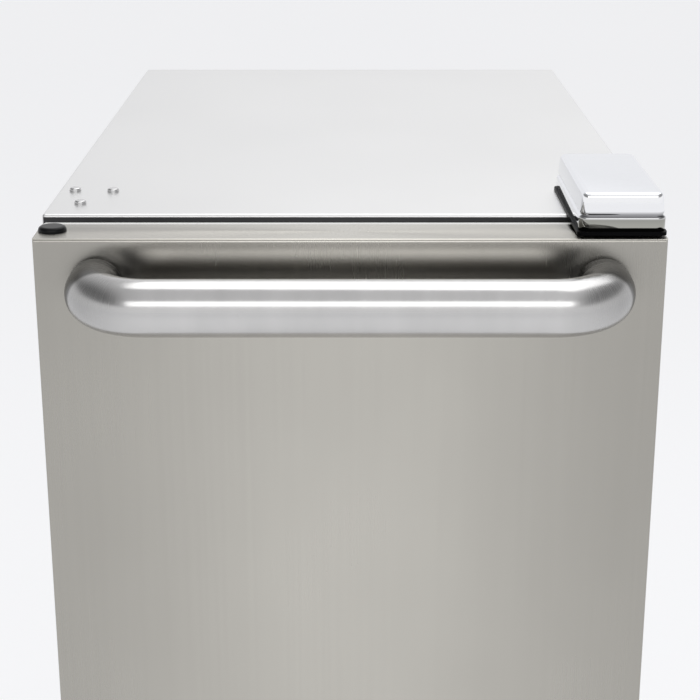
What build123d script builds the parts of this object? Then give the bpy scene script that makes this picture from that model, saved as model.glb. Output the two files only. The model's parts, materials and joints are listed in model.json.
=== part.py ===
from build123d import *
import os

# Undercounter trash compactor with a side-hinged stainless door, in millimetres.
# +Z is up and the door faces -Y. The origin is on the floor, under the middle of the object.
# Depths are measured back from the door's front face, heights up from the floor.

os.makedirs("parts", exist_ok=True)

# ---------------------------------------------------------------- driving dimensions
CABINET_WIDTH = 381.0
CABINET_TOP = 864.0
CABINET_FRONT = 54.0
CABINET_REAR = 620.0
SHEET = 1.5
TOP_PANEL_DROP = 14.0
TOP_FRONT_RADIUS = 2.5
TOP_SIDE_RADIUS = 2.0
SIDE_BOTTOM = 20.0
FLANGE = 12.0
SCREW_HOLE_RADIUS = 2.1
TOE_HEIGHT = 100.0
TOE_DEPTH = 104.0

DOOR_WIDTH = 374.0
DOOR_TOP = 862.5
DOOR_BOTTOM = 102.0
DOOR_THICKNESS = 40.0
DOOR_SHEET = 1.2
SKIN_DEPTH = 36.0
FOLD_RADIUS = 2.0
LINER_RIM = 6.0
LINER_RECESS = 1.5
GASKET_INSET = 12.0
GASKET_WIDTH = 14.0
GASKET_DEPTH = 53.6

HINGE_X = 178.0
HINGE_DEPTH = 20.0
HINGE_PIN_RADIUS = 5.0
LEAF_THICKNESS = 2.0
LEAF_X = (133.8, 186.8)
LEAF_DEPTHS = (2.5, 125.0)
COVER_X = (134.8, 186.4)
COVER_DEPTHS = (4.5, 124.0)
COVER_HEIGHTS = (LEAF_THICKNESS, 10.0, 12.0, 24.6)
COVER_STEP = 1.2
COVER_CORNER = 6.0
COVER_WALL = 1.4
COVER_CROWN_RADIUS = 3.0
BRACKET_THICKNESS = 5.0
BRACKET_X = (133.0, 187.0)

HANDLE_DIAMETER = 33.4
HANDLE_WALL = 2.0
HANDLE_STANDOFF = 45.0
HANDLE_DROP = 28.4
HANDLE_LEG_X = 150.2
HANDLE_BEND = 35.0
HANDLE_PLUG = 9.5
HANDLE_SCREW_RADIUS = 4.0

POST_WIDTH = 25.0
POST_DEPTH = 25.0
SILL_TOP = 124.0
RAIL_BOTTOM = 826.0
HEADER_DEPTH = 64.0
HEADER_SHEET = 2.0
HEADER_BOTTOM = 505.0
BAY_BACK_DEPTH = 508.0

DECK_BOTTOM = 100.0
DECK_THICKNESS = 4.0
FRAME_DEPTH = 300.0
FRAME_WIDTH = 60.0
UPRIGHT_THICKNESS = 10.0
UPRIGHT_WALL = 3.0
CROSSHEAD_Z = (822.0, 847.0)

SCREW_X = 160.0
SCREW_RADIUS = 9.5
JOURNAL_RADIUS = 7.5
SCREW_Z = (52.0, 120.0, 815.0, 845.0)
RUNNING_FIT = 0.05
BELT_GAP = 0.3
BELT_SECTION = (5.0, 8.0)
BELT_HEIGHT = 64.0
PULLEY_GROOVE_RADIUS = 17.0
PULLEY_HEIGHT = 18.0
GROOVE_WIDTH = 10.0
MOTOR_DEPTH = 565.0

RAM_BOTTOM = 500.0
RAM_SIZE = (260.0, 376.0)
RAM_RIM = 20.0
RAM_SHEET = 4.0
COLUMN_X = 100.0
CROSSBAR_Z = (785.0, 805.0)
CROSSBAR_WIDTH = 40.0

CARRIAGE_HALF_WIDTH = 137.5
CARRIAGE_DEPTHS = (100.0, 500.0)
CARRIAGE_FLOOR = 146.0
RUNNER_X = 114.0
RUNNER_BOTTOM = 126.0
TRACK_TOP = 134.0
TRACK_WIDTH = 20.0
BIN_HALF_WIDTH = 135.0
BIN_DEPTHS = (104.0, 496.0)
BIN_TOP = 490.0
BIN_WALL = 1.6

CONTROL_Z = 760.0
START_X = -60.0
STOP_X = 0.0
KNOB_X = 60.0
LENS_X = -110.0
BUTTON_RADIUS = 10.6
CONTROL_BOX_DEPTH = 130.0
LOCK_X = -140.0
LOCK_Z = 640.0
BOLT_RADIUS = 4.0
FILTER_X = 95.0
FILTER_Z = (545.0, 645.0)

FOOT_X = 160.0
FOOT_DEPTHS = (135.0, 590.0)
FOOT_PAD_RADIUS = 19.0
FOOT_STUD_RADIUS = 5.0
GLAND_X = 130.0
GLAND_Z = 66.0
GLAND_PROUD = 6.0
GLAND_FLANGE_RADIUS = 12.0
GLAND_NECK_RADIUS = 9.0
GLAND_NECK = 8.0
CORD_HOLE_RADIUS = 4.0

# ---------------------------------------------------------------- derived dimensions
HALF_WIDTH = CABINET_WIDTH / 2
INNER_X = HALF_WIDTH - SHEET
DOOR_HALF = DOOR_WIDTH / 2
SIDE_TOP = CABINET_TOP - TOP_PANEL_DROP
HANDLE_REACH = HANDLE_STANDOFF + HANDLE_DIAMETER / 2
TOTAL_DEPTH = HANDLE_REACH + CABINET_REAR + GLAND_PROUD
DOOR_FRONT_Y = HANDLE_REACH - TOTAL_DEPTH / 2
HANDLE_Z = DOOR_TOP - HANDLE_DROP
DECK_TOP = DECK_BOTTOM + DECK_THICKNESS
POST_INNER = INNER_X - POST_WIDTH
UPRIGHT_INNER = INNER_X - UPRIGHT_THICKNESS
HEADER_BACK = HEADER_DEPTH + HEADER_SHEET
CARRIAGE_SHEET = 3.0
BIN_BOTTOM = CARRIAGE_FLOOR + CARRIAGE_SHEET
LEAF_TOP = CABINET_TOP + LEAF_THICKNESS
BELT_CENTRE = PULLEY_GROOVE_RADIUS + BELT_GAP + BELT_SECTION[0] / 2
MOTOR_GROOVE_RADIUS = BELT_CENTRE / 2 - BELT_GAP - BELT_SECTION[0] / 2

# Screw places as (x, depth). The three spare holes on the left mirror the hinge's three.
BLANKING_SCREWS = ((-179.5, 118.5), (-154.5, 116.5), (-170.8, 83.0))
HINGE_SCREWS = ((179.0, 117.5), (154.5, 116.5), (170.8, 83.0))
BRACKET_SCREWS = ((150.0, 67.0), (178.0, 67.0))
REAR_SCREWS = [(x, z) for x in (-183.0, 183.0) for z in (60.0, 440.0, 820.0)]


def back(depth):
    """The Y of a depth behind the door's front face."""
    return DOOR_FRONT_Y + depth


def middle(limits):
    return (limits[0] + limits[1]) / 2


def both_ways(half):
    return (-half, half)


def block(x, depths, z, mode=Mode.ADD):
    """A box from its limits in x, depth and height."""
    with Locations((middle(x), back(middle(depths)), middle(z))):
        Box(x[1] - x[0], depths[1] - depths[0], z[1] - z[0], mode=mode)


def upright(x, depth, z, radius, mode=Mode.ADD):
    """A cylinder along Z."""
    with Locations((x, back(depth), middle(z))):
        Cylinder(radius, z[1] - z[0], mode=mode)


def rod(x, depths, z, radius, mode=Mode.ADD):
    """A cylinder along Y."""
    with Locations(Location((x, back(middle(depths)), z), (90, 0, 0))):
        Cylinder(radius, depths[1] - depths[0], mode=mode)


def finish(piece, label):
    """Name a finished piece and write it."""
    piece.part.label = label
    export_step(piece.part, f"parts/{label}.step")


# ---------------------------------------------------------------- cabinet shell
with BuildPart() as top_panel:
    block(both_ways(HALF_WIDTH), (CABINET_FRONT, CABINET_REAR), (SIDE_TOP, CABINET_TOP))
    upper_edges = top_panel.faces().sort_by(Axis.Z)[-1].edges()
    front_edge = upper_edges.sort_by(Axis.Y)[0]
    fillet(front_edge, radius=TOP_FRONT_RADIUS)
    side_edges = top_panel.faces().sort_by(Axis.Z)[-1].edges().filter_by(Axis.Y)
    rear_edge = top_panel.faces().sort_by(Axis.Z)[-1].edges().sort_by(Axis.Y)[-1]
    fillet(side_edges + ShapeList([rear_edge]), radius=TOP_SIDE_RADIUS)
    offset(amount=-SHEET, openings=top_panel.faces().sort_by(Axis.Z)[0])
    for x, depth in BLANKING_SCREWS + HINGE_SCREWS:
        upright(x, depth, (CABINET_TOP - 2 * SHEET, CABINET_TOP + SHEET), SCREW_HOLE_RADIUS, Mode.SUBTRACT)
finish(top_panel, "top_panel")


def make_side_panel(side, label):
    """A side sheet with a toe notch, a rear flange and a bottom flange; side is -1 or 1."""
    flange_x = sorted((side * (INNER_X - FLANGE), side * HALF_WIDTH))
    sheet_x = sorted((side * INNER_X, side * HALF_WIDTH))
    rear = CABINET_REAR - SHEET
    with BuildPart() as panel:
        block(sheet_x, (CABINET_FRONT, CABINET_REAR), (SIDE_BOTTOM, SIDE_TOP))
        block(flange_x, (rear - SHEET, rear), (SIDE_BOTTOM, SIDE_TOP))
        block(flange_x, (TOE_DEPTH + FLANGE, rear), (SIDE_BOTTOM, SIDE_BOTTOM + SHEET))
        block(
            sheet_x,
            (CABINET_FRONT, TOE_DEPTH),
            (SIDE_BOTTOM, TOE_HEIGHT),
            Mode.SUBTRACT,
        )
        for x, z in REAR_SCREWS:
            rod(x, (rear - 2 * SHEET, rear + SHEET), z, SCREW_HOLE_RADIUS, Mode.SUBTRACT)
    finish(panel, label)


make_side_panel(-1, "side_panel_left")
make_side_panel(1, "side_panel_right")

LOUVRE_ROWS = 9
LOUVRE_PITCH = 16.0
LOUVRE_X = 70.0
LOUVRE_HEIGHTS = (240.0, 700.0)
LOUVRE_SLOT = (100.0, 6.0)
REAR_CUT = (CABINET_REAR - 2 * SHEET, CABINET_REAR + SHEET)
with BuildPart() as rear_panel:
    block(both_ways(INNER_X), (CABINET_REAR - SHEET, CABINET_REAR), (SIDE_BOTTOM + SHEET, SIDE_TOP))
    for louvre_z in LOUVRE_HEIGHTS:
        with BuildSketch(Plane.XZ.offset(-back(CABINET_REAR + SHEET))):
            with Locations((-LOUVRE_X, louvre_z), (LOUVRE_X, louvre_z)):
                with GridLocations(0, LOUVRE_PITCH, 1, LOUVRE_ROWS):
                    SlotOverall(LOUVRE_SLOT[0], LOUVRE_SLOT[1])
        extrude(amount=4 * SHEET, mode=Mode.SUBTRACT)
    for x, z in REAR_SCREWS:
        rod(x, REAR_CUT, z, SCREW_HOLE_RADIUS, Mode.SUBTRACT)
    rod(GLAND_X, REAR_CUT, GLAND_Z, GLAND_NECK_RADIUS, Mode.SUBTRACT)
finish(rear_panel, "rear_panel")

PAN_SHEET = 2.0
PAN_FLANGE = 18.0
PAN_TOP = SIDE_BOTTOM + SHEET + PAN_SHEET
PAN_DEPTHS = (TOE_DEPTH + PAN_SHEET, CABINET_REAR - 2 * SHEET)
BOSS_TOP = PAN_TOP + 10.0
BOSS_RADIUS = 10.0
with BuildPart() as base_pan:
    block(both_ways(INNER_X), PAN_DEPTHS, (SIDE_BOTTOM + SHEET, PAN_TOP))
    for edge_depth in (PAN_DEPTHS[0], PAN_DEPTHS[1] - PAN_SHEET):
        edge = (edge_depth, edge_depth + PAN_SHEET)
        block(both_ways(INNER_X - FLANGE), edge, (PAN_TOP, PAN_TOP + PAN_FLANGE))
    for x in both_ways(FOOT_X):
        for depth in FOOT_DEPTHS:
            upright(x, depth, (PAN_TOP, BOSS_TOP), BOSS_RADIUS)
            stud_hole = FOOT_STUD_RADIUS + RUNNING_FIT
            upright(x, depth, (0.0, BOSS_TOP + 1.0), stud_hole, Mode.SUBTRACT)
finish(base_pan, "base_pan")

TOE_KICK_HALF = INNER_X - 1.0
TOE_KICK_Z = (12.0, TOE_HEIGHT - 0.5)
VENT_PITCH = 26.0
VENT_COUNT = 9
VENT_SLOT = (44.0, 5.0)
VENT_Z = 58.0
with BuildPart() as toe_kick:
    block(both_ways(TOE_KICK_HALF), (TOE_DEPTH, TOE_DEPTH + SHEET), TOE_KICK_Z)
    upper_flange = (TOE_KICK_Z[1] - SHEET, TOE_KICK_Z[1])
    block(both_ways(TOE_KICK_HALF), (TOE_DEPTH, TOE_DEPTH + FLANGE), upper_flange)
    with BuildSketch(Plane.XZ.offset(-back(TOE_DEPTH - SHEET))):
        with Locations((0, VENT_Z)):
            with GridLocations(VENT_PITCH, 0, VENT_COUNT, 1):
                SlotOverall(VENT_SLOT[0], VENT_SLOT[1], rotation=90)
    extrude(amount=-4 * SHEET, mode=Mode.SUBTRACT)
finish(toe_kick, "toe_kick")

# ---------------------------------------------------------------- front frame
POST_DEPTHS = (CABINET_FRONT, CABINET_FRONT + POST_DEPTH)
with BuildPart() as front_posts:
    for side in (-1, 1):
        outer = sorted((side * POST_INNER, side * INNER_X))
        inner = sorted((side * (POST_INNER + SHEET), side * (INNER_X - SHEET)))
        hollow = (CABINET_FRONT + SHEET, CABINET_FRONT + POST_DEPTH - SHEET)
        block(outer, POST_DEPTHS, (SILL_TOP, SIDE_TOP))
        block(inner, hollow, (SILL_TOP, SIDE_TOP), Mode.SUBTRACT)
finish(front_posts, "front_posts")


def make_cross_rail(half_width, z, screw_places, label):
    """A square tube across the front; screw_places are holes in its underside."""
    with BuildPart() as rail:
        block(both_ways(half_width), POST_DEPTHS, z)
        hollow = (CABINET_FRONT + SHEET, CABINET_FRONT + POST_DEPTH - SHEET)
        block(both_ways(half_width), hollow, (z[0] + SHEET, z[1] - SHEET), Mode.SUBTRACT)
        for x, depth in screw_places:
            upright(x, depth, (z[0] - SHEET, z[0] + 2 * SHEET), SCREW_HOLE_RADIUS, Mode.SUBTRACT)
    finish(rail, label)


make_cross_rail(INNER_X, (DECK_BOTTOM, SILL_TOP), BRACKET_SCREWS, "front_sill")
make_cross_rail(POST_INNER, (RAIL_BOTTOM, SIDE_TOP), (), "front_rail")

KNOB_SHAFT_RADIUS = 4.0
BUTTON_HOLE_RADIUS = BUTTON_RADIUS + 0.4
LENS_RADIUS = 5.0
HEADER_FLANGE = 14.0
FILTER_LIP = 6.0
with BuildPart() as header_panel:
    block(both_ways(POST_INNER), (HEADER_DEPTH, HEADER_BACK), (HEADER_BOTTOM, RAIL_BOTTOM))
    for side in (-1, 1):
        flange_x = sorted((side * (POST_INNER - HEADER_SHEET), side * POST_INNER))
        block(flange_x, (HEADER_BACK, HEADER_BACK + HEADER_FLANGE), (HEADER_BOTTOM, RAIL_BOTTOM))
    hole = (HEADER_DEPTH - 1.0, HEADER_BACK + 1.0)
    rod(START_X, hole, CONTROL_Z, BUTTON_HOLE_RADIUS, Mode.SUBTRACT)
    rod(STOP_X, hole, CONTROL_Z, BUTTON_HOLE_RADIUS, Mode.SUBTRACT)
    rod(KNOB_X, hole, CONTROL_Z, KNOB_SHAFT_RADIUS + RUNNING_FIT, Mode.SUBTRACT)
    rod(LENS_X, hole, CONTROL_Z, LENS_RADIUS, Mode.SUBTRACT)
    rod(LOCK_X, hole, LOCK_Z, BOLT_RADIUS + 0.5, Mode.SUBTRACT)
    window_z = (FILTER_Z[0] + FILTER_LIP, FILTER_Z[1] - FILTER_LIP)
    block(both_ways(FILTER_X - FILTER_LIP), hole, window_z, Mode.SUBTRACT)
finish(header_panel, "header_panel")

GRILLE_PROUD = 2.0
GRILLE_PITCH = 9.0
GRILLE_BARS = 9
GRILLE_SLOT = (160.0, 4.0)
with BuildPart() as filter_grille:
    block(both_ways(FILTER_X), (HEADER_DEPTH - GRILLE_PROUD, HEADER_DEPTH), FILTER_Z)
    fillet(filter_grille.edges().filter_by(Axis.Y), radius=4.0)
    with BuildSketch(Plane.XZ.offset(-back(HEADER_DEPTH + 1.0))):
        with Locations((0, middle(FILTER_Z))):
            with GridLocations(0, GRILLE_PITCH, 1, GRILLE_BARS):
                SlotOverall(GRILLE_SLOT[0], GRILLE_SLOT[1])
    extrude(amount=2 * GRILLE_PROUD, mode=Mode.SUBTRACT)
finish(filter_grille, "filter_grille")

FILTER_INSET = FILTER_LIP + 0.5
FILTER_THICKNESS = 22.0
with BuildPart() as charcoal_filter:
    filter_z = (FILTER_Z[0] + FILTER_INSET, FILTER_Z[1] - FILTER_INSET)
    filter_depths = (HEADER_DEPTH, HEADER_DEPTH + FILTER_THICKNESS)
    block(both_ways(FILTER_X - FILTER_INSET), filter_depths, filter_z)
    fillet(charcoal_filter.edges().filter_by(Axis.Y), radius=3.0)
finish(charcoal_filter, "charcoal_filter")

CONTROL_BOX_X = (-124.0, 84.0)
CONTROL_BOX_Z = (732.0, 788.0)
with BuildPart() as control_box:
    block(CONTROL_BOX_X, (HEADER_BACK, CONTROL_BOX_DEPTH), CONTROL_BOX_Z)
    fillet(control_box.edges().filter_by(Axis.Y), radius=3.0)
    offset(amount=-SHEET, openings=control_box.faces().sort_by(Axis.Y)[0])
finish(control_box, "control_box")

LENS_DEPTHS = (HEADER_DEPTH - 2.0, HEADER_BACK + 6.0)
with BuildPart() as pilot_lens:
    rod(LENS_X, LENS_DEPTHS, CONTROL_Z, LENS_RADIUS)
    fillet(pilot_lens.faces().sort_by(Axis.Y)[0].edges(), radius=1.8)
finish(pilot_lens, "pilot_lens")

# ---------------------------------------------------------------- reaction frame and drive
FRAME_DEPTHS = (FRAME_DEPTH - FRAME_WIDTH / 2, FRAME_DEPTH + FRAME_WIDTH / 2)
with BuildPart() as frame_uprights:
    for side in (-1, 1):
        outer = sorted((side * UPRIGHT_INNER, side * INNER_X))
        channel = sorted((side * UPRIGHT_INNER, side * (INNER_X - UPRIGHT_WALL)))
        open_depths = (FRAME_DEPTHS[0] + UPRIGHT_WALL, FRAME_DEPTHS[1] - UPRIGHT_WALL)
        block(outer, FRAME_DEPTHS, (PAN_TOP, CROSSHEAD_Z[1]))
        block(channel, open_depths, (PAN_TOP, CROSSHEAD_Z[1]), Mode.SUBTRACT)
finish(frame_uprights, "frame_uprights")

BUSH_RADIUS = 12.0
with BuildPart() as crosshead:
    block(both_ways(UPRIGHT_INNER), FRAME_DEPTHS, CROSSHEAD_Z)
    fillet(crosshead.edges().filter_by(Axis.X), radius=4.0)
    hollow_z = (CROSSHEAD_Z[0] + UPRIGHT_WALL, CROSSHEAD_Z[1] - UPRIGHT_WALL)
    hollow_depths = (FRAME_DEPTHS[0] + UPRIGHT_WALL, FRAME_DEPTHS[1] - UPRIGHT_WALL)
    block(both_ways(UPRIGHT_INNER), hollow_depths, hollow_z, Mode.SUBTRACT)
    for x in both_ways(SCREW_X):
        upright(x, FRAME_DEPTH, CROSSHEAD_Z, BUSH_RADIUS, Mode.SUBTRACT)
finish(crosshead, "crosshead")

with BuildPart() as upper_bushes:
    for x in both_ways(SCREW_X):
        upright(x, FRAME_DEPTH, CROSSHEAD_Z, BUSH_RADIUS)
        upright(x, FRAME_DEPTH, CROSSHEAD_Z, JOURNAL_RADIUS + RUNNING_FIT, Mode.SUBTRACT)
finish(upper_bushes, "upper_bushes")

DECK_DEPTHS = (POST_DEPTHS[1], CABINET_REAR - 2 * SHEET)
SCREW_OPENING = 9.0
SHAFT_OPENING = 12.0
with BuildPart() as deck_plate:
    block(both_ways(INNER_X), DECK_DEPTHS, (DECK_BOTTOM, DECK_TOP))
    for side in (-1, 1):
        notch_x = sorted((side * UPRIGHT_INNER, side * INNER_X))
        block(notch_x, FRAME_DEPTHS, (DECK_BOTTOM, DECK_TOP), Mode.SUBTRACT)
        upright(side * SCREW_X, FRAME_DEPTH, (DECK_BOTTOM, DECK_TOP), SCREW_OPENING, Mode.SUBTRACT)
    upright(0, MOTOR_DEPTH, (DECK_BOTTOM, DECK_TOP), SHAFT_OPENING, Mode.SUBTRACT)
finish(deck_plate, "deck_plate")

BEARING_FLANGE_RADIUS = 18.0
BEARING_RADIUS = 13.0
BEARING_Z = (DECK_TOP, DECK_TOP + 4.0, DECK_TOP + 14.0)
with BuildPart() as screw_bearings:
    for x in both_ways(SCREW_X):
        upright(x, FRAME_DEPTH, (BEARING_Z[0], BEARING_Z[1]), BEARING_FLANGE_RADIUS)
        upright(x, FRAME_DEPTH, (BEARING_Z[1], BEARING_Z[2]), BEARING_RADIUS)
        bore = JOURNAL_RADIUS + RUNNING_FIT
        upright(x, FRAME_DEPTH, (BEARING_Z[0], BEARING_Z[2]), bore, Mode.SUBTRACT)
finish(screw_bearings, "screw_bearings")

with BuildPart() as bay_back_panel:
    panel_depths = (BAY_BACK_DEPTH, BAY_BACK_DEPTH + SHEET)
    block(both_ways(UPRIGHT_INNER), panel_depths, (DECK_TOP, CROSSHEAD_Z[0]))
    foot_depths = (BAY_BACK_DEPTH, BAY_BACK_DEPTH + FLANGE)
    block(both_ways(UPRIGHT_INNER), foot_depths, (DECK_TOP, DECK_TOP + SHEET))
finish(bay_back_panel, "bay_back_panel")

TRACK_DEPTHS = (POST_DEPTHS[1] + 3.0, CARRIAGE_DEPTHS[1])
TRACK_SHEET = 2.0
with BuildPart() as bin_tracks:
    for x in both_ways(RUNNER_X):
        track_x = (x - TRACK_WIDTH / 2, x + TRACK_WIDTH / 2)
        block(track_x, TRACK_DEPTHS, (DECK_TOP, TRACK_TOP))
        inner_x = (track_x[0] + TRACK_SHEET, track_x[1] - TRACK_SHEET)
        block(inner_x, TRACK_DEPTHS, (DECK_TOP, TRACK_TOP - TRACK_SHEET), Mode.SUBTRACT)
finish(bin_tracks, "bin_tracks")

GEARBOX_TOP = 150.0
MOTOR_RADIUS = 46.0
MOTOR_TOP = 285.0
MOTOR_SHAFT_RADIUS = 5.0
SHAFT_BORE_END = 8.0
GEARBOX_HALF = (52.0, 44.0)
FIN_COUNT = 24
FIN_SECTION = (3.0, 4.0)
FIN_START = 20.0
FIN_LENGTH = 80.0
with BuildPart() as gear_motor:
    gearbox_depths = (MOTOR_DEPTH - GEARBOX_HALF[1], MOTOR_DEPTH + GEARBOX_HALF[1])
    block(both_ways(GEARBOX_HALF[0]), gearbox_depths, (DECK_TOP, GEARBOX_TOP))
    fillet(gear_motor.edges().filter_by(Axis.Z), radius=10.0)
    upright(0, MOTOR_DEPTH, (GEARBOX_TOP, MOTOR_TOP), MOTOR_RADIUS)
    fillet(gear_motor.faces().sort_by(Axis.Z)[-1].edges(), radius=8.0)
    with BuildSketch(Plane.XY.offset(GEARBOX_TOP + FIN_START)):
        with Locations((0, back(MOTOR_DEPTH))):
            with PolarLocations(MOTOR_RADIUS, FIN_COUNT):
                Rectangle(FIN_SECTION[0], FIN_SECTION[1])
    extrude(amount=FIN_LENGTH)
    bore = MOTOR_SHAFT_RADIUS + RUNNING_FIT
    upright(0, MOTOR_DEPTH, (DECK_TOP, GEARBOX_TOP - SHAFT_BORE_END), bore, Mode.SUBTRACT)
finish(gear_motor, "gear_motor")

PULLEY_Z = (BELT_HEIGHT - PULLEY_HEIGHT / 2, BELT_HEIGHT + PULLEY_HEIGHT / 2)
GROOVE_Z = (BELT_HEIGHT - GROOVE_WIDTH / 2, BELT_HEIGHT + GROOVE_WIDTH / 2)


def make_pulley(x, depth, groove_radius, bore_radius, label):
    """A grooved pulley on an upright shaft."""
    rim = groove_radius + BELT_SECTION[0]
    with BuildPart() as pulley:
        upright(x, depth, PULLEY_Z, rim)
        upright(x, depth, GROOVE_Z, rim, Mode.SUBTRACT)
        upright(x, depth, GROOVE_Z, groove_radius)
        upright(x, depth, PULLEY_Z, bore_radius, Mode.SUBTRACT)
    finish(pulley, label)


make_pulley(-SCREW_X, FRAME_DEPTH, PULLEY_GROOVE_RADIUS, JOURNAL_RADIUS, "screw_pulley_left")
make_pulley(SCREW_X, FRAME_DEPTH, PULLEY_GROOVE_RADIUS, JOURNAL_RADIUS, "screw_pulley_right")

with BuildPart() as motor_pulley:
    rim = MOTOR_GROOVE_RADIUS + BELT_SECTION[0]
    upright(0, MOTOR_DEPTH, PULLEY_Z, rim)
    upright(0, MOTOR_DEPTH, GROOVE_Z, rim, Mode.SUBTRACT)
    upright(0, MOTOR_DEPTH, GROOVE_Z, MOTOR_GROOVE_RADIUS)
    shaft_top = GEARBOX_TOP - SHAFT_BORE_END - 2.0
    upright(0, MOTOR_DEPTH, (PULLEY_Z[0], shaft_top), MOTOR_SHAFT_RADIUS)
finish(motor_pulley, "motor_pulley")


def belt_outline(extra):
    """The loop round the three pulleys, as far outside their grooves as extra says."""
    with BuildSketch(Plane.XY.offset(BELT_HEIGHT - BELT_SECTION[1] / 2)) as outline:
        with Locations((-SCREW_X, back(FRAME_DEPTH)), (SCREW_X, back(FRAME_DEPTH))):
            Circle(PULLEY_GROOVE_RADIUS + extra)
        with Locations((0, back(MOTOR_DEPTH))):
            Circle(MOTOR_GROOVE_RADIUS + extra)
        make_hull()
    return outline.sketch


BELT_OUTSIDE = belt_outline(BELT_GAP + BELT_SECTION[0])
BELT_INSIDE = belt_outline(BELT_GAP)
with BuildPart() as drive_belt:
    extrude(BELT_OUTSIDE, amount=BELT_SECTION[1])
    extrude(BELT_INSIDE, amount=BELT_SECTION[1], mode=Mode.SUBTRACT)
finish(drive_belt, "drive_belt")


def make_power_screw(x, label):
    """A screw with a plain journal at each end; its thread is left plain."""
    with BuildPart() as screw:
        upright(x, FRAME_DEPTH, (SCREW_Z[0], SCREW_Z[1]), JOURNAL_RADIUS)
        upright(x, FRAME_DEPTH, (SCREW_Z[1], SCREW_Z[2]), SCREW_RADIUS)
        upright(x, FRAME_DEPTH, (SCREW_Z[2], SCREW_Z[3]), JOURNAL_RADIUS)
        chamfer(screw.faces().sort_by(Axis.Z)[-1].edges(), length=1.0)
    finish(screw, label)


make_power_screw(-SCREW_X, "power_screw_left")
make_power_screw(SCREW_X, "power_screw_right")

# ---------------------------------------------------------------- ram
RAM_X = both_ways(RAM_SIZE[0] / 2)
RAM_DEPTHS = (FRAME_DEPTH - RAM_SIZE[1] / 2, FRAME_DEPTH + RAM_SIZE[1] / 2)
with BuildPart() as ram_plate:
    block(RAM_X, RAM_DEPTHS, (RAM_BOTTOM, RAM_BOTTOM + RAM_RIM))
    fillet(ram_plate.edges().filter_by(Axis.Z), radius=12.0)
    fillet(ram_plate.faces().sort_by(Axis.Z)[0].edges(), radius=5.0)
    offset(amount=-RAM_SHEET, openings=ram_plate.faces().sort_by(Axis.Z)[-1])
finish(ram_plate, "ram_plate")

COLUMN_FOOT = RAM_BOTTOM + RAM_SHEET
COLUMN_HALF = 20.0
COLUMN_WALL = 3.0
FOOT_PLATE_HALF = (24.0, 45.0)
FOOT_PLATE_Z = (COLUMN_FOOT, COLUMN_FOOT + 5.0)
RAM_BOLT_OFFSET = 36.0
RAM_BOLT_RADIUS = 4.0
NUT_RADIUS = 14.0


def column_block(x, half_x, half_depth, z, mode=Mode.ADD):
    """A block centred on a ram column."""
    block((x - half_x, x + half_x), (FRAME_DEPTH - half_depth, FRAME_DEPTH + half_depth), z, mode)


with BuildPart() as ram_frame:
    column_z = (COLUMN_FOOT, CROSSBAR_Z[0])
    column_inside = COLUMN_HALF - COLUMN_WALL
    for x in both_ways(COLUMN_X):
        column_block(x, COLUMN_HALF, COLUMN_HALF, column_z)
        column_block(x, column_inside, column_inside, column_z, Mode.SUBTRACT)
        column_block(x, FOOT_PLATE_HALF[0], FOOT_PLATE_HALF[1], FOOT_PLATE_Z)
    bar_depths = (FRAME_DEPTH - CROSSBAR_WIDTH / 2, FRAME_DEPTH + CROSSBAR_WIDTH / 2)
    block(both_ways(SCREW_X + NUT_RADIUS + 2.0), bar_depths, CROSSBAR_Z)
    fillet(ram_frame.edges().filter_by(Axis.X).group_by(Axis.Z)[-1], radius=3.0)
    for x in both_ways(SCREW_X):
        upright(x, FRAME_DEPTH, CROSSBAR_Z, NUT_RADIUS, Mode.SUBTRACT)
    for x in both_ways(COLUMN_X):
        for depth in (FRAME_DEPTH - RAM_BOLT_OFFSET, FRAME_DEPTH + RAM_BOLT_OFFSET):
            upright(x, depth, FOOT_PLATE_Z, RAM_BOLT_RADIUS + 0.1, Mode.SUBTRACT)
finish(ram_frame, "ram_frame")

NUT_FLANGE_RADIUS = 16.0
NUT_Z = (CROSSBAR_Z[0] - 6.0, CROSSBAR_Z[0], CROSSBAR_Z[1] + 4.0)
with BuildPart() as power_nuts:
    for x in both_ways(SCREW_X):
        upright(x, FRAME_DEPTH, (NUT_Z[0], NUT_Z[1]), NUT_FLANGE_RADIUS)
        upright(x, FRAME_DEPTH, (NUT_Z[1], NUT_Z[2]), NUT_RADIUS)
        upright(x, FRAME_DEPTH, (NUT_Z[0], NUT_Z[2]), SCREW_RADIUS + RUNNING_FIT, Mode.SUBTRACT)
finish(power_nuts, "power_nuts")

RAM_BOLT_HEAD = (7.5, 5.3)
with BuildPart() as ram_bolts:
    bolt_y = [back(FRAME_DEPTH - RAM_BOLT_OFFSET), back(FRAME_DEPTH + RAM_BOLT_OFFSET)]
    bolt_places = [(x, y) for x in both_ways(COLUMN_X) for y in bolt_y]
    with BuildSketch(Plane.XY.offset(FOOT_PLATE_Z[1])):
        with Locations(bolt_places):
            RegularPolygon(RAM_BOLT_HEAD[0], 6)
    extrude(amount=RAM_BOLT_HEAD[1])
    for x in both_ways(COLUMN_X):
        for depth in (FRAME_DEPTH - RAM_BOLT_OFFSET, FRAME_DEPTH + RAM_BOLT_OFFSET):
            upright(x, depth, FOOT_PLATE_Z, RAM_BOLT_RADIUS)
finish(ram_bolts, "ram_bolts")

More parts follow.
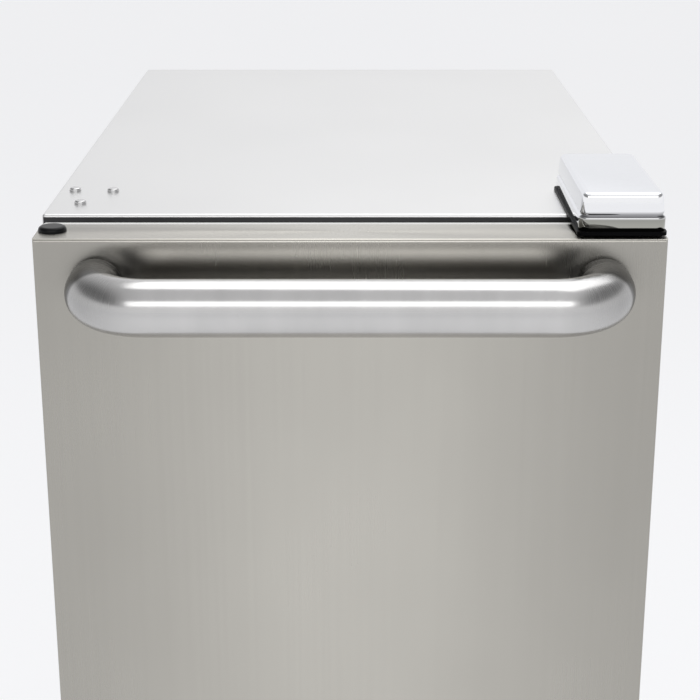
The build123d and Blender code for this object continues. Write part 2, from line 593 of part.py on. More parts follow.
# ---------------------------------------------------------------- bin and its carriage
FRONT_PANEL_TOP = 482.0
LIP_TOP = CARRIAGE_FLOOR + 30.0
FRONT_SHEET = 2.0
RUNNER_HALF = 14.0
RUNNER_DEPTHS = (CARRIAGE_DEPTHS[0] + 6.0, CARRIAGE_DEPTHS[1] - 2.0)
RUNNER_PLAY = 0.4
with BuildPart() as bin_carriage:
    block(both_ways(CARRIAGE_HALF_WIDTH), CARRIAGE_DEPTHS, (CARRIAGE_FLOOR, BIN_BOTTOM))
    front = (CARRIAGE_DEPTHS[0], CARRIAGE_DEPTHS[0] + FRONT_SHEET)
    block(both_ways(CARRIAGE_HALF_WIDTH), front, (BIN_BOTTOM, FRONT_PANEL_TOP))
    for side in (-1, 1):
        lip_x = sorted((side * (CARRIAGE_HALF_WIDTH - SHEET), side * CARRIAGE_HALF_WIDTH))
        block(lip_x, CARRIAGE_DEPTHS, (BIN_BOTTOM, LIP_TOP))
        x = side * RUNNER_X
        block((x - RUNNER_HALF, x + RUNNER_HALF), RUNNER_DEPTHS, (RUNNER_BOTTOM, CARRIAGE_FLOOR))
        groove_half = TRACK_WIDTH / 2 + RUNNER_PLAY
        groove_x = (x - groove_half, x + groove_half)
        block(groove_x, CARRIAGE_DEPTHS, (RUNNER_BOTTOM, TRACK_TOP + RUNNER_PLAY), Mode.SUBTRACT)
    upper_corners = bin_carriage.edges().filter_by(Axis.Y).group_by(Axis.Z)[-1]
    fillet(upper_corners, radius=10.0)
finish(bin_carriage, "bin_carriage")

BIN_CORNER = 14.0
BIN_BEAD = (2.0, 3.0)
with BuildPart() as bin_body:
    block(both_ways(BIN_HALF_WIDTH), BIN_DEPTHS, (BIN_BOTTOM, BIN_TOP))
    fillet(bin_body.edges().filter_by(Axis.Z), radius=BIN_CORNER)
    fillet(bin_body.faces().sort_by(Axis.Z)[0].edges(), radius=6.0)
    offset(amount=-BIN_WALL, openings=bin_body.faces().sort_by(Axis.Z)[-1])
    with BuildSketch(Plane.XY.offset(BIN_TOP - BIN_BEAD[1])):
        with Locations((0, back(middle(BIN_DEPTHS)))):
            outer_width = 2 * (BIN_HALF_WIDTH + BIN_BEAD[0])
            outer_length = BIN_DEPTHS[1] - BIN_DEPTHS[0] + 2 * BIN_BEAD[0]
            RectangleRounded(outer_width, outer_length, BIN_CORNER + BIN_BEAD[0])
            inner_width = 2 * (BIN_HALF_WIDTH - BIN_WALL)
            inner_length = BIN_DEPTHS[1] - BIN_DEPTHS[0] - 2 * BIN_WALL
            RectangleRounded(inner_width, inner_length, BIN_CORNER - BIN_WALL, mode=Mode.SUBTRACT)
    extrude(amount=BIN_BEAD[1])
finish(bin_body, "bin")

PULL_HALF_WIDTH = 70.0
PULL_PROUD = 8.0
PULL_SHEET = 2.0
PULL_Z = (424.0, 444.0, 448.0)
with BuildPart() as bin_pull:
    with BuildSketch(Plane.YZ.offset(-PULL_HALF_WIDTH)):
        with BuildLine():
            root = back(CARRIAGE_DEPTHS[0])
            lip_front = root - PULL_PROUD
            lip_back = lip_front + PULL_SHEET
            Polyline(
                (root, PULL_Z[2]),
                (lip_front, PULL_Z[1]),
                (lip_front, PULL_Z[0]),
                (lip_back, PULL_Z[0]),
                (lip_back, PULL_Z[1] - PULL_SHEET),
                (root, PULL_Z[2] - 1.5 * PULL_SHEET),
                close=True,
            )
        make_face()
    extrude(amount=2 * PULL_HALF_WIDTH)
    fillet(bin_pull.edges().filter_by(Axis.Y).group_by(Axis.Z)[0], radius=0.8)
finish(bin_pull, "bin_pull")

# ---------------------------------------------------------------- controls and lock
BUTTON_DEPTHS = (HEADER_DEPTH - 7.0, HEADER_BACK + 16.0)
COLLAR_DEPTHS = (HEADER_BACK + 0.5, HEADER_BACK + 3.0)
COLLAR_RADIUS = BUTTON_RADIUS + 2.4


def make_button(x, label):
    """A round push button with a retaining collar behind the header panel."""
    with BuildPart() as button:
        rod(x, BUTTON_DEPTHS, CONTROL_Z, BUTTON_RADIUS)
        fillet(button.faces().sort_by(Axis.Y)[0].edges(), radius=1.5)
        rod(x, COLLAR_DEPTHS, CONTROL_Z, COLLAR_RADIUS)
    finish(button, label)


make_button(START_X, "start_button")
make_button(STOP_X, "stop_button")

KNOB_RADIUS = 17.0
KNOB_DEPTHS = (HEADER_DEPTH - 5.0, HEADER_DEPTH - 0.5)
KNOB_SHAFT_END = HEADER_BACK + 20.0
BOW_DEPTHS = (HEADER_DEPTH - 14.0, HEADER_DEPTH - 4.0)
BOW_HALF = (3.0, 13.0)
with BuildPart() as key_knob:
    rod(KNOB_X, KNOB_DEPTHS, CONTROL_Z, KNOB_RADIUS)
    chamfer(key_knob.faces().sort_by(Axis.Y)[0].edges(), length=1.5)
    rod(KNOB_X, (KNOB_DEPTHS[1], KNOB_SHAFT_END), CONTROL_Z, KNOB_SHAFT_RADIUS)
    bow_x = (KNOB_X - BOW_HALF[0], KNOB_X + BOW_HALF[0])
    block(bow_x, BOW_DEPTHS, (CONTROL_Z - BOW_HALF[1], CONTROL_Z + BOW_HALF[1]))
    fillet(key_knob.edges().filter_by(Axis.Y).group_by(Axis.X)[0], radius=1.0)
finish(key_knob, "key_knob")

SOLENOID_DEPTHS = (HEADER_BACK, HEADER_BACK + 36.0)
SOLENOID_HALF = (13.0, 14.0)
with BuildPart() as lock_solenoid:
    solenoid_x = (LOCK_X - SOLENOID_HALF[0], LOCK_X + SOLENOID_HALF[0])
    block(solenoid_x, SOLENOID_DEPTHS, (LOCK_Z - SOLENOID_HALF[1], LOCK_Z + SOLENOID_HALF[1]))
    fillet(lock_solenoid.edges().filter_by(Axis.Y), radius=2.5)
    rod(LOCK_X, SOLENOID_DEPTHS, LOCK_Z, BOLT_RADIUS + RUNNING_FIT, Mode.SUBTRACT)
finish(lock_solenoid, "lock_solenoid")

BOLT_DEPTHS = (HEADER_DEPTH - 8.0, HEADER_BACK + 34.0)
with BuildPart() as lock_bolt:
    rod(LOCK_X, BOLT_DEPTHS, LOCK_Z, BOLT_RADIUS)
    chamfer(lock_bolt.faces().sort_by(Axis.Y)[0].edges(), length=1.2)
finish(lock_bolt, "lock_bolt")

# ---------------------------------------------------------------- door
DOOR_X = both_ways(DOOR_HALF)
DOOR_Z = (DOOR_BOTTOM, DOOR_TOP)
BUSH_LENGTH = 22.0
DOOR_BUSH_RADIUS = 7.4
PLUG_STEM_RADIUS = 5.9
HANDLE_SCREW_HEAD = (7.0, 5.0)
STRIKE_POCKET_RADIUS = 9.0
STRIKE_RADIUS = 6.8
BUSH_POCKET = 32.0
STRIKE_DEPTHS = (DOOR_THICKNESS - 14.0, DOOR_THICKNESS + 1.0)
with BuildPart() as door_skin:
    block(DOOR_X, (0.0, SKIN_DEPTH), DOOR_Z)
    fillet(door_skin.faces().sort_by(Axis.Y)[0].edges(), radius=FOLD_RADIUS)
    offset(amount=-DOOR_SHEET, openings=door_skin.faces().sort_by(Axis.Y)[-1])
    full_height = (DOOR_BOTTOM - 1.0, DOOR_TOP + 1.0)
    upright(HINGE_X, HINGE_DEPTH, full_height, DOOR_BUSH_RADIUS, Mode.SUBTRACT)
    upright(-HINGE_X, HINGE_DEPTH, full_height, PLUG_STEM_RADIUS, Mode.SUBTRACT)
    for x in both_ways(HANDLE_LEG_X):
        rod(x, (-1.0, 3.0), HANDLE_Z, HANDLE_SCREW_RADIUS + 0.3, Mode.SUBTRACT)
finish(door_skin, "door_skin")

CORE_DEPTHS = (DOOR_SHEET + 0.2, SKIN_DEPTH - LINER_RIM - 0.5)
CORE_GAP = 0.3
RIM_THICKNESS = 3.0
LINER_PANEL = (270.0, 660.0)
with BuildPart() as door_core:
    core_half = DOOR_HALF - DOOR_SHEET - CORE_GAP
    core_z = (DOOR_BOTTOM + DOOR_SHEET + CORE_GAP, DOOR_TOP - DOOR_SHEET - CORE_GAP)
    block(both_ways(core_half), CORE_DEPTHS, core_z)
    fillet(door_core.edges().filter_by(Axis.Z), radius=1.0)
    inside_rim = RIM_THICKNESS + CORE_GAP
    rear_fill = (CORE_DEPTHS[1], SKIN_DEPTH - 0.2)
    block(both_ways(core_half - inside_rim), rear_fill, (core_z[0] + inside_rim, core_z[1] - inside_rim))
    for x in both_ways(HINGE_X):
        for pocket in ((DOOR_BOTTOM, DOOR_BOTTOM + BUSH_POCKET), (DOOR_TOP - BUSH_POCKET, DOOR_TOP)):
            upright(x, HINGE_DEPTH, pocket, DOOR_BUSH_RADIUS + CORE_GAP, Mode.SUBTRACT)
    for x in both_ways(HANDLE_LEG_X):
        rod(x, (0.0, 9.0), HANDLE_Z, HANDLE_SCREW_HEAD[0] + 1.5, Mode.SUBTRACT)
    rod(LOCK_X, (STRIKE_DEPTHS[0] - 0.5, SKIN_DEPTH), LOCK_Z, STRIKE_POCKET_RADIUS, Mode.SUBTRACT)
finish(door_core, "door_core")

with BuildPart() as door_liner:
    block(DOOR_X, (SKIN_DEPTH, DOOR_THICKNESS), DOOR_Z)
    fillet(door_liner.edges().filter_by(Axis.Y), radius=2.0)
    rim_half = DOOR_HALF - DOOR_SHEET - CORE_GAP
    rim_z = (DOOR_BOTTOM + DOOR_SHEET + CORE_GAP, DOOR_TOP - DOOR_SHEET - CORE_GAP)
    rim_depths = (SKIN_DEPTH - LINER_RIM, SKIN_DEPTH)
    block(both_ways(rim_half), rim_depths, rim_z)
    inside_z = (rim_z[0] + RIM_THICKNESS, rim_z[1] - RIM_THICKNESS)
    block(both_ways(rim_half - RIM_THICKNESS), rim_depths, inside_z, Mode.SUBTRACT)
    with BuildSketch(Plane.XZ.offset(-back(DOOR_THICKNESS))):
        with Locations((0, middle(DOOR_Z))):
            RectangleRounded(LINER_PANEL[0], LINER_PANEL[1], 18.0)
    extrude(amount=LINER_RECESS, mode=Mode.SUBTRACT)
    liner_hole = STRIKE_RADIUS + 0.2
    rod(LOCK_X, (SKIN_DEPTH - 1.0, DOOR_THICKNESS + 1.0), LOCK_Z, liner_hole, Mode.SUBTRACT)
finish(door_liner, "door_liner")

GASKET_HALF = DOOR_HALF - GASKET_INSET
GASKET_Z = (DOOR_BOTTOM + 8.0, DOOR_TOP - GASKET_INSET)
GROOVE_START = 5.0
GROOVE_HEIGHT = 3.0
GROOVE_DEPTH = 2.5
with BuildPart() as door_gasket:
    outer_size = (2 * GASKET_HALF, GASKET_Z[1] - GASKET_Z[0])
    with BuildSketch(Plane.XZ.offset(-back(DOOR_THICKNESS))):
        with Locations((0, middle(GASKET_Z))):
            RectangleRounded(outer_size[0], outer_size[1], 6.0)
            inner_width = outer_size[0] - 2 * GASKET_WIDTH
            RectangleRounded(inner_width, outer_size[1] - 2 * GASKET_WIDTH, 3.0, mode=Mode.SUBTRACT)
    extrude(amount=-(GASKET_DEPTH - DOOR_THICKNESS))
    with BuildSketch(Plane.XZ.offset(-back(DOOR_THICKNESS + GROOVE_START))):
        with Locations((0, middle(GASKET_Z))):
            RectangleRounded(outer_size[0], outer_size[1], 6.0)
            land = (outer_size[0] - 2 * GROOVE_DEPTH, outer_size[1] - 2 * GROOVE_DEPTH)
            RectangleRounded(land[0], land[1], 4.0, mode=Mode.SUBTRACT)
    extrude(amount=-GROOVE_HEIGHT, mode=Mode.SUBTRACT)
finish(door_gasket, "door_gasket")

with BuildPart() as lock_strike:
    rod(LOCK_X, (STRIKE_DEPTHS[0], DOOR_THICKNESS), LOCK_Z, STRIKE_RADIUS)
    socket_depths = (STRIKE_DEPTHS[0] + SHEET, STRIKE_DEPTHS[1])
    rod(LOCK_X, socket_depths, LOCK_Z, BOLT_RADIUS + 0.6, Mode.SUBTRACT)
finish(lock_strike, "lock_strike")


def handle_route(plug):
    """The handle's centreline, with both ends cut back from the door by plug."""
    legs_y = back(-plug)
    bar_y = back(-HANDLE_STANDOFF)
    with BuildLine() as route:
        FilletPolyline(
            (-HANDLE_LEG_X, legs_y, HANDLE_Z),
            (-HANDLE_LEG_X, bar_y, HANDLE_Z),
            (HANDLE_LEG_X, bar_y, HANDLE_Z),
            (HANDLE_LEG_X, legs_y, HANDLE_Z),
            radius=HANDLE_BEND,
        )
    return route.line


def handle_section(plug, radius):
    with BuildSketch(Plane.XZ.offset(-back(-plug))) as section:
        with Locations((-HANDLE_LEG_X, HANDLE_Z)):
            Circle(radius)
    return section.sketch


with BuildPart() as handle_tube:
    sweep(handle_section(0.0, HANDLE_DIAMETER / 2), path=handle_route(0.0))
    bore_section = handle_section(HANDLE_PLUG, HANDLE_DIAMETER / 2 - HANDLE_WALL)
    sweep(bore_section, path=handle_route(HANDLE_PLUG), mode=Mode.SUBTRACT)
    for x in both_ways(HANDLE_LEG_X):
        rod(x, (-HANDLE_PLUG - 1.0, 1.0), HANDLE_Z, HANDLE_SCREW_RADIUS, Mode.SUBTRACT)
finish(handle_tube, "handle_tube")

with BuildPart() as handle_screws:
    for x in both_ways(HANDLE_LEG_X):
        head_depths = (DOOR_SHEET, DOOR_SHEET + HANDLE_SCREW_HEAD[1])
        rod(x, head_depths, HANDLE_Z, HANDLE_SCREW_HEAD[0])
        rod(x, (-HANDLE_PLUG, DOOR_SHEET), HANDLE_Z, HANDLE_SCREW_RADIUS)
finish(handle_screws, "handle_screws")

BUSH_FLANGE_RADIUS = 8.6
UPPER_BUSH_PROUD = 0.9
LOWER_BUSH_PROUD = 1.5
with BuildPart() as hinge_bushes:
    upright(HINGE_X, HINGE_DEPTH, (DOOR_TOP - BUSH_LENGTH, DOOR_TOP), DOOR_BUSH_RADIUS)
    upright(HINGE_X, HINGE_DEPTH, (DOOR_TOP, DOOR_TOP + UPPER_BUSH_PROUD), BUSH_FLANGE_RADIUS)
    upright(HINGE_X, HINGE_DEPTH, (DOOR_BOTTOM, DOOR_BOTTOM + BUSH_LENGTH), DOOR_BUSH_RADIUS)
    upright(HINGE_X, HINGE_DEPTH, (DOOR_BOTTOM - LOWER_BUSH_PROUD, DOOR_BOTTOM), BUSH_FLANGE_RADIUS)
    bore = HINGE_PIN_RADIUS + RUNNING_FIT
    upright(HINGE_X, HINGE_DEPTH, (DOOR_BOTTOM - 2.0, DOOR_TOP + 1.0), bore, Mode.SUBTRACT)
finish(hinge_bushes, "hinge_bushes")

PLUG_RADIUS = 8.5
PLUG_DOME = 3.2
PLUG_STEM = 12.0
with BuildPart() as door_plugs:
    upright(-HINGE_X, HINGE_DEPTH, (DOOR_TOP, DOOR_TOP + PLUG_DOME), PLUG_RADIUS)
    fillet(door_plugs.faces().sort_by(Axis.Z)[-1].edges(), radius=2.4)
    upright(-HINGE_X, HINGE_DEPTH, (DOOR_TOP - PLUG_STEM, DOOR_TOP), PLUG_STEM_RADIUS)
    upright(-HINGE_X, HINGE_DEPTH, (DOOR_BOTTOM - LOWER_BUSH_PROUD, DOOR_BOTTOM), PLUG_RADIUS)
    upright(-HINGE_X, HINGE_DEPTH, (DOOR_BOTTOM, DOOR_BOTTOM + PLUG_STEM), PLUG_STEM_RADIUS)
finish(door_plugs, "door_plugs")

# ---------------------------------------------------------------- hinges
with BuildPart() as top_hinge_leaf:
    block(LEAF_X, LEAF_DEPTHS, (CABINET_TOP, LEAF_TOP))
    fillet(top_hinge_leaf.edges().filter_by(Axis.Z), radius=4.0)
    upright(HINGE_X, HINGE_DEPTH, (DOOR_TOP - BUSH_LENGTH, CABINET_TOP), HINGE_PIN_RADIUS)
    for x, depth in HINGE_SCREWS:
        upright(x, depth, (CABINET_TOP, LEAF_TOP), SCREW_HOLE_RADIUS, Mode.SUBTRACT)
finish(top_hinge_leaf, "top_hinge_leaf")

with BuildPart() as hinge_cover:
    cover_centre = (middle(COVER_X), back(middle(COVER_DEPTHS)))
    cover_size = (COVER_X[1] - COVER_X[0], COVER_DEPTHS[1] - COVER_DEPTHS[0])
    cover_z = [CABINET_TOP + height for height in COVER_HEIGHTS]
    upper_size = (cover_size[0] - 2 * COVER_STEP, cover_size[1] - 2 * COVER_STEP)
    with BuildSketch(Plane.XY.offset(cover_z[0])):
        with Locations(cover_centre):
            RectangleRounded(cover_size[0], cover_size[1], COVER_CORNER)
    extrude(amount=cover_z[1] - cover_z[0])
    with BuildSketch(Plane.XY.offset(cover_z[1])):
        with Locations(cover_centre):
            RectangleRounded(cover_size[0], cover_size[1], COVER_CORNER)
    with BuildSketch(Plane.XY.offset(cover_z[2])):
        with Locations(cover_centre):
            RectangleRounded(upper_size[0], upper_size[1], COVER_CORNER)
    loft()
    with BuildSketch(Plane.XY.offset(cover_z[2])):
        with Locations(cover_centre):
            RectangleRounded(upper_size[0], upper_size[1], COVER_CORNER)
    extrude(amount=cover_z[3] - cover_z[2], taper=5)
    fillet(hinge_cover.faces().sort_by(Axis.Z)[-1].edges(), radius=COVER_CROWN_RADIUS)
    with BuildSketch(Plane.XY.offset(cover_z[0])):
        with Locations(cover_centre):
            cavity = (upper_size[0] - 2 * COVER_WALL, upper_size[1] - 2 * COVER_WALL)
            RectangleRounded(cavity[0], cavity[1], COVER_CORNER - COVER_WALL)
    extrude(amount=cover_z[3] - cover_z[0] - COVER_WALL, taper=4, mode=Mode.SUBTRACT)
    with BuildSketch(Plane.XY.offset(cover_z[0])):
        with Locations(cover_centre):
            skirt = (cover_size[0] - 2 * COVER_WALL, cover_size[1] - 2 * COVER_WALL)
            RectangleRounded(skirt[0], skirt[1], COVER_CORNER - COVER_WALL)
    extrude(amount=cover_z[1] - cover_z[0], mode=Mode.SUBTRACT)
finish(hinge_cover, "hinge_cover")

with BuildPart() as lower_hinge_bracket:
    bracket_z = (TOE_HEIGHT - BRACKET_THICKNESS, TOE_HEIGHT)
    block(BRACKET_X, (4.0, CABINET_FRONT + POST_DEPTH), bracket_z)
    fillet(lower_hinge_bracket.edges().filter_by(Axis.Z), radius=4.0)
    upright(HINGE_X, HINGE_DEPTH, (TOE_HEIGHT, DOOR_BOTTOM + BUSH_LENGTH), HINGE_PIN_RADIUS)
    chamfer(lower_hinge_bracket.faces().sort_by(Axis.Z)[-1].edges(), length=1.0)
    for x, depth in BRACKET_SCREWS:
        upright(x, depth, bracket_z, SCREW_HOLE_RADIUS, Mode.SUBTRACT)
finish(lower_hinge_bracket, "lower_hinge_bracket")

# ---------------------------------------------------------------- fasteners
SHANK_RADIUS = 2.0
PAN_HEAD = (3.8, 2.4)
SHANK_LENGTH = 10.0
with BuildPart() as top_screws:
    for x, depth in BLANKING_SCREWS:
        upright(x, depth, (CABINET_TOP, CABINET_TOP + PAN_HEAD[1]), PAN_HEAD[0])
    for x, depth in HINGE_SCREWS:
        upright(x, depth, (LEAF_TOP, LEAF_TOP + PAN_HEAD[1]), PAN_HEAD[0])
    head_rims = top_screws.edges().filter_by(GeomType.CIRCLE).group_by(Axis.Z)
    fillet(head_rims[-1] + head_rims[-2], radius=1.3)
    for x, depth in BLANKING_SCREWS:
        upright(x, depth, (CABINET_TOP - SHANK_LENGTH, CABINET_TOP), SHANK_RADIUS)
    for x, depth in HINGE_SCREWS:
        upright(x, depth, (CABINET_TOP - SHANK_LENGTH, LEAF_TOP), SHANK_RADIUS)
finish(top_screws, "top_screws")

with BuildPart() as panel_screws:
    for x, z in REAR_SCREWS:
        rod(x, (CABINET_REAR, CABINET_REAR + PAN_HEAD[1]), z, PAN_HEAD[0])
        rod(x, (CABINET_REAR - SHANK_LENGTH, CABINET_REAR), z, SHANK_RADIUS)
    for x, depth in BRACKET_SCREWS:
        head_top = TOE_HEIGHT - BRACKET_THICKNESS
        upright(x, depth, (head_top - PAN_HEAD[1], head_top), PAN_HEAD[0])
        upright(x, depth, (head_top, TOE_HEIGHT + 6.0), SHANK_RADIUS)
finish(panel_screws, "panel_screws")

# ---------------------------------------------------------------- cord gland, harness and feet
with BuildPart() as cord_gland:
    rod(GLAND_X, (CABINET_REAR, CABINET_REAR + GLAND_PROUD), GLAND_Z, GLAND_FLANGE_RADIUS)
    fillet(cord_gland.faces().sort_by(Axis.Y)[-1].edges(), radius=2.0)
    rod(GLAND_X, (CABINET_REAR - GLAND_NECK, CABINET_REAR), GLAND_Z, GLAND_NECK_RADIUS)
    gland_depths = (CABINET_REAR - GLAND_NECK, CABINET_REAR + GLAND_PROUD)
    rod(GLAND_X, gland_depths, GLAND_Z, CORD_HOLE_RADIUS, Mode.SUBTRACT)
finish(cord_gland, "cord_gland")

HARNESS_X = 20.0
HARNESS_Z = (770.0, 855.0)
HARNESS_RISE_DEPTH = 200.0
HARNESS_RADIUS = 3.0
with BuildPart() as wiring_harness:
    with BuildLine() as harness_route:
        FilletPolyline(
            (HARNESS_X, back(CONTROL_BOX_DEPTH), HARNESS_Z[0]),
            (HARNESS_X, back(HARNESS_RISE_DEPTH), HARNESS_Z[0]),
            (HARNESS_X, back(HARNESS_RISE_DEPTH), HARNESS_Z[1]),
            (HARNESS_X, back(MOTOR_DEPTH), HARNESS_Z[1]),
            (HARNESS_X, back(MOTOR_DEPTH), MOTOR_TOP),
            radius=30.0,
        )
    with BuildSketch(Plane.XZ.offset(-back(CONTROL_BOX_DEPTH))):
        with Locations((HARNESS_X, HARNESS_Z[0])):
            Circle(HARNESS_RADIUS)
    sweep()
finish(wiring_harness, "wiring_harness")


FOOT_PAD_TOP = 8.0
FOOT_HEXAGON = (9.0, 6.0)
FOOT_STUD_TOP = 48.0


def make_foot(x, depth, label):
    """A levelling foot: a pad, a hexagon for the spanner and a stud."""
    with BuildPart() as foot:
        upright(x, depth, (0.0, FOOT_PAD_TOP), FOOT_PAD_RADIUS)
        chamfer(foot.faces().sort_by(Axis.Z)[-1].edges(), length=3.0)
        fillet(foot.faces().sort_by(Axis.Z)[0].edges(), radius=1.0)
        with BuildSketch(Plane.XY.offset(FOOT_PAD_TOP)):
            with Locations((x, back(depth))):
                RegularPolygon(FOOT_HEXAGON[0], 6)
        extrude(amount=FOOT_HEXAGON[1])
        stud_z = (FOOT_PAD_TOP + FOOT_HEXAGON[1], FOOT_STUD_TOP)
        upright(x, depth, stud_z, FOOT_STUD_RADIUS)
    finish(foot, label)


for side, side_name in ((-1, "left"), (1, "right")):
    for depth, end_name in zip(FOOT_DEPTHS, ("front", "rear")):
        make_foot(side * FOOT_X, depth, f"foot_{end_name}_{side_name}")
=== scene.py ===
import json
import math

import bmesh
import bpy
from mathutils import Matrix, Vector


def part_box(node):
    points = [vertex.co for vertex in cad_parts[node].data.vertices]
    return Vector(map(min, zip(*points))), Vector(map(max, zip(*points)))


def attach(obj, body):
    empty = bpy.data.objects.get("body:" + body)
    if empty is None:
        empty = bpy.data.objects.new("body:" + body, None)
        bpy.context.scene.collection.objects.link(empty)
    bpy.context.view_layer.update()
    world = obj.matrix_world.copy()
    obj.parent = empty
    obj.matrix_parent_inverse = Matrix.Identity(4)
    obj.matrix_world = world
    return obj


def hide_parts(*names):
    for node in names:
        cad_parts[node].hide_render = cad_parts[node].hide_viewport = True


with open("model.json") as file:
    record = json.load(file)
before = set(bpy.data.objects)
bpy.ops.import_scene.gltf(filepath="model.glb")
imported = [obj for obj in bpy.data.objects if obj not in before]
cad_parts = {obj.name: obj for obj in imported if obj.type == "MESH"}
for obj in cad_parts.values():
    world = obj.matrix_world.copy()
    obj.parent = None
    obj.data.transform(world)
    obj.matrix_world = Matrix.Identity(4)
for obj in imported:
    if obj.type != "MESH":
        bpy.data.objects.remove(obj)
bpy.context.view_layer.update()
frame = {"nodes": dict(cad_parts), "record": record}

# A narrow stainless trash compactor with a side-hinged door, seen from the front and a little above.
# Lengths are in metres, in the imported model's own frame: +Z up, the door faces -Y.

# ---------------------------------------------------------------- places read from the frame
DOOR_LOW, DOOR_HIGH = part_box("door_skin")
DOOR_FRONT = DOOR_LOW.y
DOOR_TOP = DOOR_HIGH.z
HANDLE_LOW, HANDLE_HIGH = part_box("handle_tube")
TOP_LOW, TOP_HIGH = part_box("top_panel")
COVER_LOW, COVER_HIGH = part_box("hinge_cover")

# ---------------------------------------------------------------- camera
IMAGE_SIDE = 700.0
SENSOR = 36.0
FOCAL_IN_IMAGE = 1662.0
CAMERA_AHEAD = 0.945
CAMERA_ABOVE = 0.249
CAMERA_DOWN = math.radians(18.57)

camera_data = bpy.data.cameras.new("camera")
camera_data.sensor_width = SENSOR
camera_data.lens = FOCAL_IN_IMAGE / IMAGE_SIDE * SENSOR
camera = bpy.data.objects.new("camera", camera_data)
camera.location = (0.0, DOOR_FRONT - CAMERA_AHEAD, DOOR_TOP + CAMERA_ABOVE)
camera.rotation_euler = (math.pi / 2 - CAMERA_DOWN, 0.0, 0.0)
bpy.context.scene.collection.objects.link(camera)
bpy.context.scene.camera = camera
bpy.context.scene.view_settings.view_transform = "Standard"


# ---------------------------------------------------------------- node helpers
class Shader:
    """A principled material under construction, with short calls for its nodes."""

    def __init__(self, name):
        self.material = bpy.data.materials.new(name)
        self.material.use_nodes = True
        self.tree = self.material.node_tree
        self.bsdf = self.tree.nodes["Principled BSDF"]
        self.coords = self.node("ShaderNodeTexCoord").outputs["Object"]

    def node(self, kind, **settings):
        made = self.tree.nodes.new(kind)
        for key, value in settings.items():
            setattr(made, key, value)
        return made

    def link(self, source, target):
        self.tree.links.new(source, target)

    def value(self, socket, number):
        self.bsdf.inputs[socket].default_value = number

    def noise(self, scale, detail=2.0, stretch=(1.0, 1.0, 1.0), coords=None, roughness=0.5):
        """Noise over the object's own coordinates, stretched by scaling each axis."""
        mapping = self.node("ShaderNodeMapping")
        mapping.inputs["Scale"].default_value = stretch
        self.link(coords or self.coords, mapping.inputs["Vector"])
        texture = self.node("ShaderNodeTexNoise")
        texture.inputs["Scale"].default_value = scale
        texture.inputs["Detail"].default_value = detail
        texture.inputs["Roughness"].default_value = roughness
        self.link(mapping.outputs["Vector"], texture.inputs["Vector"])
        return texture.outputs["Fac"]

    def ramp(self, factor, low, high, from_low=0.3, from_high=0.7):
        """Map a factor from one range of numbers to another, clamped."""
        made = self.node("ShaderNodeMapRange")
        made.inputs["From Min"].default_value = from_low
        made.inputs["From Max"].default_value = from_high
        made.inputs["To Min"].default_value = low
        made.inputs["To Max"].default_value = high
        self.link(factor, made.inputs["Value"])
        return made.outputs["Result"]

    def math(self, operation, a, b):
        made = self.node("ShaderNodeMath", operation=operation)
        for socket, value in zip(made.inputs, (a, b)):
            if isinstance(value, (int, float)):
                socket.default_value = value
            else:
                self.link(value, socket)
        return made.outputs["Value"]

    def mix(self, factor, colour_a, colour_b):
        made = self.node("ShaderNodeMix", data_type="RGBA")
        sockets = [s for s in made.inputs if s.type == "RGBA"]
        if isinstance(factor, (int, float)):
            made.inputs["Factor"].default_value = factor
        else:
            self.link(factor, made.inputs["Factor"])
        for socket, colour in zip(sockets, (colour_a, colour_b)):
            if isinstance(colour, tuple):
                socket.default_value = (*colour, 1.0)
            else:
                self.link(colour, socket)
        return [s for s in made.outputs if s.type == "RGBA"][0]

    def bump(self, height, strength, distance, normal=None):
        made = self.node("ShaderNodeBump")
        made.inputs["Strength"].default_value = strength
        made.inputs["Distance"].default_value = distance
        self.link(height, made.inputs["Height"])
        if normal is not None:
            self.link(normal, made.inputs["Normal"])
        return made.outputs["Normal"]

    def darken(self, colour, level):
        """Multiply a colour by a grey level."""
        made = self.node("ShaderNodeVectorMath", operation="SCALE")
        self.link(colour, made.inputs["Vector"])
        self.link(level, made.inputs["Scale"])
        return made.outputs["Vector"]

    def painted_side_shade(self, inner, outer, level):
        """Painted side shade: 1 inside a distance from the middle in X, easing to a level at another distance.
        """
        split = self.node("ShaderNodeSeparateXYZ")
        self.link(self.coords, split.inputs["Vector"])
        made = self.node("ShaderNodeMapRange", interpolation_type="SMOOTHSTEP")
        for socket, value in (("From Min", inner), ("From Max", outer), ("To Min", 1.0), ("To Max", level)):
            made.inputs[socket].default_value = value
        self.link(self.math("ABSOLUTE", split.outputs["X"], 0.0), made.inputs["Value"])
        return made.outputs["Result"]

    def axis_level(self, axis, start, end):
        """Rises from 0 to 1 between two places along an axis of the object's own frame."""
        split = self.node("ShaderNodeSeparateXYZ")
        self.link(self.coords, split.inputs["Vector"])
        level = self.node("ShaderNodeMapRange")
        level.inputs["From Min"].default_value = start
        level.inputs["From Max"].default_value = end
        self.link(split.outputs[axis], level.inputs["Value"])
        return level.outputs["Result"]

    def colour(self, source):
        if isinstance(source, tuple):
            self.bsdf.inputs["Base Color"].default_value = (*source, 1.0)
        else:
            self.link(source, self.bsdf.inputs["Base Color"])

    def tangent(self, axis):
        made = self.node("ShaderNodeTangent", direction_type="RADIAL", axis=axis)
        self.link(made.outputs["Tangent"], self.bsdf.inputs["Tangent"])


def shade(colour, factor):
    return tuple(min(1.0, channel * factor) for channel in colour)


